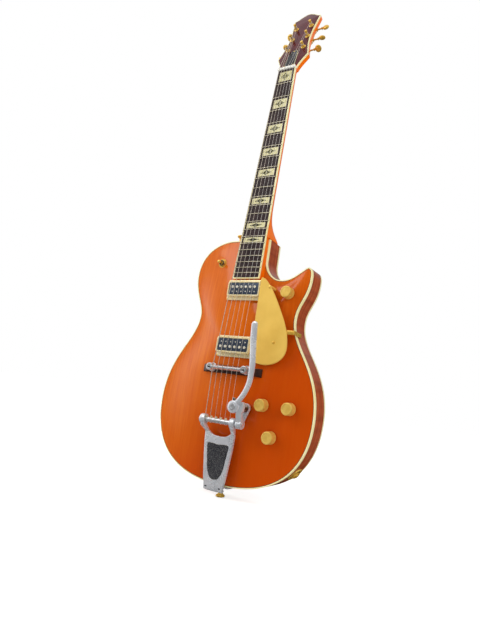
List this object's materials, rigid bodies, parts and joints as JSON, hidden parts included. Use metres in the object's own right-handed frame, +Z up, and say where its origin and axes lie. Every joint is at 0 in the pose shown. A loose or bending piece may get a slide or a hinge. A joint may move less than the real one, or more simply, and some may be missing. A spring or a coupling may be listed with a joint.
{
  "type": "hollow-body electric guitar",
  "caption": "Right-handed single-cutaway electric guitar with arched top, bound neck and body, paired pickups, floating bridge, sprung vibrato tailpiece and geared tuners.",
  "frame": {"origin": "on the flat back of the body, straight behind the bridge", "axes": "+Z up the neck, +Y out of the back, +X to the treble side"},
  "size_m": [0.324, 0.1292, 1.0293],
  "materials": {
    "orange_top": "gloss lacquer over maple",
    "orange_neck": "gloss lacquer",
    "mahogany": "gloss lacquer over mahogany",
    "cream": "polished binding",
    "gold": "polished gold plate",
    "satin_gold": "satin gold acrylic",
    "aluminium": "polished casting",
    "steel": "plated steel",
    "black": "satin",
    "plum": "gloss",
    "rosewood": "oiled",
    "bone": "satin"
  },
  "bodies": {
    "guitar": {"back_binding": "cream", "body_back": "mahogany", "body_top": "orange_top", "bridge_base": "rosewood", "bridge_pickup_coil": "black", "bridge_pickup_cover": "gold", "fingerboard": "rosewood", "fingerboard_binding": "cream", "frame_insert": "black", "headstock_binding": "cream", "headstock_veneer": "plum", "hinge_plate": "aluminium", "jack_plate": "gold", "jack_socket": "gold", "neck": "orange_neck", "neck_pickup_coil": "black", "neck_pickup_cover": "gold", "nut": "bone", "pickguard": "satin_gold", "pickguard_bracket": "gold", "rear_cover": "black", "strap_button_shoulder": "gold", "strap_button_tail": "gold", "string_1": "steel", "string_2": "steel", "string_3": "steel", "string_4": "steel", "string_5": "steel", "string_6": "steel", "top_binding": "cream", "truss_rod": "steel", "truss_rod_cover": "black", "tuner_plate_bass": "gold", "tuner_plate_treble": "gold", "vibrato_frame": "aluminium", "vibrato_spring": "steel", "wiring_harness": "steel"},
    "button_1": {"tuner_button_1": "gold"},
    "post_1": {"tuner_post_1": "gold"},
    "button_2": {"tuner_button_2": "gold"},
    "post_2": {"tuner_post_2": "gold"},
    "button_3": {"tuner_button_3": "gold"},
    "post_3": {"tuner_post_3": "gold"},
    "button_4": {"tuner_button_4": "gold"},
    "post_4": {"tuner_post_4": "gold"},
    "button_5": {"tuner_button_5": "gold"},
    "post_5": {"tuner_post_5": "gold"},
    "button_6": {"tuner_button_6": "gold"},
    "post_6": {"tuner_post_6": "gold"},
    "knob_master": {"knob_master": "gold"},
    "knob_neck_volume": {"knob_neck_volume": "gold"},
    "knob_bridge_volume": {"knob_bridge_volume": "gold"},
    "knob_tone": {"knob_tone": "gold"},
    "toggle": {"toggle_lever": "gold"},
    "saddle": {"bridge_saddle": "steel"},
    "wheel_bass": {"thumbwheel_bass": "steel"},
    "wheel_treble": {"thumbwheel_treble": "steel"},
    "rocker": {"string_bar": "steel", "rocker_arm": "aluminium"},
    "handle": {"handle": "aluminium"}
  },
  "joints": [
    {"name": "button_turn_1", "type": "hinge", "parent": "guitar", "child": "button_1", "pos_m": [0.0185, 0.00932, 0.69661], "axis": [1, 0, 0], "continuous": true},
    {"name": "post_turn_1", "type": "hinge", "parent": "guitar", "child": "post_1", "pos_m": [0.0185, -0.00862, 0.69284], "axis": [0, -0.9625, 0.2714], "continuous": true},
    {"name": "button_turn_2", "type": "hinge", "parent": "guitar", "child": "button_2", "pos_m": [0.0185, 0.01937, 0.73222], "axis": [1, 0, 0], "continuous": true},
    {"name": "post_turn_2", "type": "hinge", "parent": "guitar", "child": "post_2", "pos_m": [0.0185, 0.00142, 0.72845], "axis": [0, -0.9625, 0.2714], "continuous": true},
    {"name": "button_turn_3", "type": "hinge", "parent": "guitar", "child": "button_3", "pos_m": [0.0185, 0.02941, 0.76784], "axis": [1, 0, 0], "continuous": true},
    {"name": "post_turn_3", "type": "hinge", "parent": "guitar", "child": "post_3", "pos_m": [0.0185, 0.01146, 0.76407], "axis": [0, -0.9625, 0.2714], "continuous": true},
    {"name": "button_turn_4", "type": "hinge", "parent": "guitar", "child": "button_4", "pos_m": [-0.0185, 0.02941, 0.76784], "axis": [1, 0, 0], "continuous": true},
    {"name": "post_turn_4", "type": "hinge", "parent": "guitar", "child": "post_4", "pos_m": [-0.0185, 0.01146, 0.76407], "axis": [0, -0.9625, 0.2714], "continuous": true},
    {"name": "button_turn_5", "type": "hinge", "parent": "guitar", "child": "button_5", "pos_m": [-0.0185, 0.01937, 0.73222], "axis": [1, 0, 0], "continuous": true},
    {"name": "post_turn_5", "type": "hinge", "parent": "guitar", "child": "post_5", "pos_m": [-0.0185, 0.00142, 0.72845], "axis": [0, -0.9625, 0.2714], "continuous": true},
    {"name": "button_turn_6", "type": "hinge", "parent": "guitar", "child": "button_6", "pos_m": [-0.0185, 0.00932, 0.69661], "axis": [1, 0, 0], "continuous": true},
    {"name": "post_turn_6", "type": "hinge", "parent": "guitar", "child": "post_6", "pos_m": [-0.0185, -0.00862, 0.69284], "axis": [0, -0.9625, 0.2714], "continuous": true},
    {"name": "knob_master_turn", "type": "hinge", "parent": "guitar", "child": "knob_master", "pos_m": [0.0898, -0.05028, 0.1402], "axis": [0, -1, 0], "range_deg": [0, 280]},
    {"name": "knob_neck_volume_turn", "type": "hinge", "parent": "guitar", "child": "knob_neck_volume", "pos_m": [0.0732, -0.0559, -0.0539], "axis": [0, -1, 0], "range_deg": [0, 280]},
    {"name": "knob_bridge_volume_turn", "type": "hinge", "parent": "guitar", "child": "knob_bridge_volume", "pos_m": [0.121, -0.04969, -0.0541], "axis": [0, -1, 0], "range_deg": [0, 280]},
    {"name": "knob_tone_turn", "type": "hinge", "parent": "guitar", "child": "knob_tone", "pos_m": [0.0927, -0.05079, -0.1035], "axis": [0, -1, 0], "range_deg": [-140, 140]},
    {"name": "toggle_switch", "type": "hinge", "parent": "guitar", "child": "toggle", "pos_m": [-0.0685, -0.0385, 0.2005], "axis": [1, 0, 0], "range_deg": [-12, 12]},
    {"name": "bridge_height", "type": "slide", "parent": "guitar", "child": "saddle", "axis": [0, -1, 0], "range_m": [0, 0.003]},
    {"name": "thumbwheel_turn_bass", "type": "hinge", "parent": "saddle", "child": "wheel_bass", "pos_m": [-0.036, -0.0633, 0], "axis": [0, -1, 0], "range_deg": [0, 1543.9]},
    {"name": "thumbwheel_turn_treble", "type": "hinge", "parent": "saddle", "child": "wheel_treble", "pos_m": [0.036, -0.0633, 0], "axis": [0, -1, 0], "range_deg": [0, 1543.9]},
    {"name": "vibrato_rock", "type": "hinge", "parent": "guitar", "child": "rocker", "pos_m": [0, -0.0715, -0.0895], "axis": [1, 0, 0], "range_deg": [-6, 4], "stiffness_Nm_per_rad": 6, "deforming": ["vibrato_spring", "string_1", "string_2", "string_3", "string_4", "string_5", "string_6"]},
    {"name": "handle_swivel", "type": "hinge", "parent": "rocker", "child": "handle", "pos_m": [0.034, -0.0818, -0.062], "axis": [0, 1, 0], "range_deg": [0, 110]}
  ],
  "couplings": [
    {"joint": "post_turn_1", "follows": "button_turn_1", "ratio": -0.083333},
    {"joint": "post_turn_2", "follows": "button_turn_2", "ratio": -0.083333},
    {"joint": "post_turn_3", "follows": "button_turn_3", "ratio": -0.083333},
    {"joint": "post_turn_4", "follows": "button_turn_4", "ratio": 0.083333},
    {"joint": "post_turn_5", "follows": "button_turn_5", "ratio": 0.083333},
    {"joint": "post_turn_6", "follows": "button_turn_6", "ratio": 0.083333},
    {"joint": "thumbwheel_turn_bass", "follows": "bridge_height", "rad_per_m": 8976},
    {"joint": "thumbwheel_turn_treble", "follows": "bridge_height", "rad_per_m": 8976}
  ]
}
